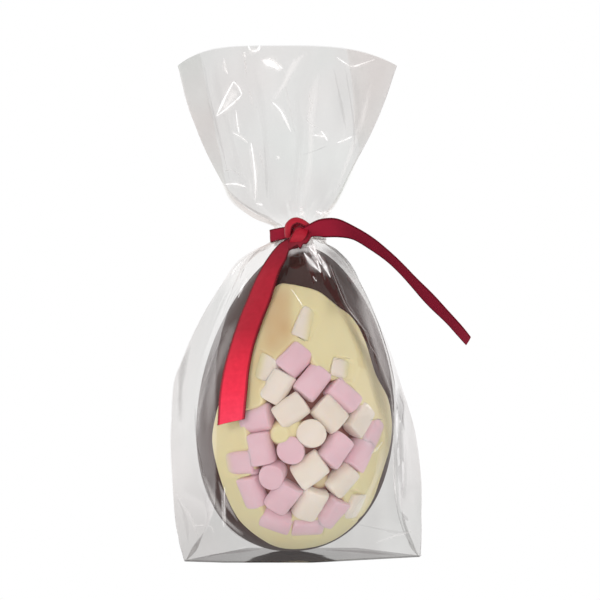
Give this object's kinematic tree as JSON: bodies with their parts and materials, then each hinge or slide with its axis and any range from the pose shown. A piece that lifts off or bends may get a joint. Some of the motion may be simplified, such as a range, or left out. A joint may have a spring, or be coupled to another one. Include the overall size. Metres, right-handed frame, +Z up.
{
  "type": "chocolate egg in a tied clear bag",
  "caption": "Milk chocolate egg with a white chocolate and marshmallow front, in a clear gusseted bag tied with a red satin ribbon.",
  "frame": {"origin": "a point on the flat base under the egg, near the middle of the bag's width", "axes": "+Z up from the base to the mouth of the bag, -Y out of the egg's decorated front, +X to the right seen from the front"},
  "size_m": [0.118, 0.08, 0.2023],
  "materials": {
    "clear_film": "thin clear glossy film with creases",
    "red_ribbon": "red satin weave with fine looped edges",
    "milk_chocolate": "moulded milk chocolate, soft gloss",
    "white_chocolate": "moulded white chocolate, soft gloss",
    "pink_marshmallow": "soft powdery marshmallow",
    "white_marshmallow": "soft powdery marshmallow"
  },
  "bodies": {
    "root": {"bag": "clear_film", "ribbon": "red_ribbon"}
  },
  "joints": []
}
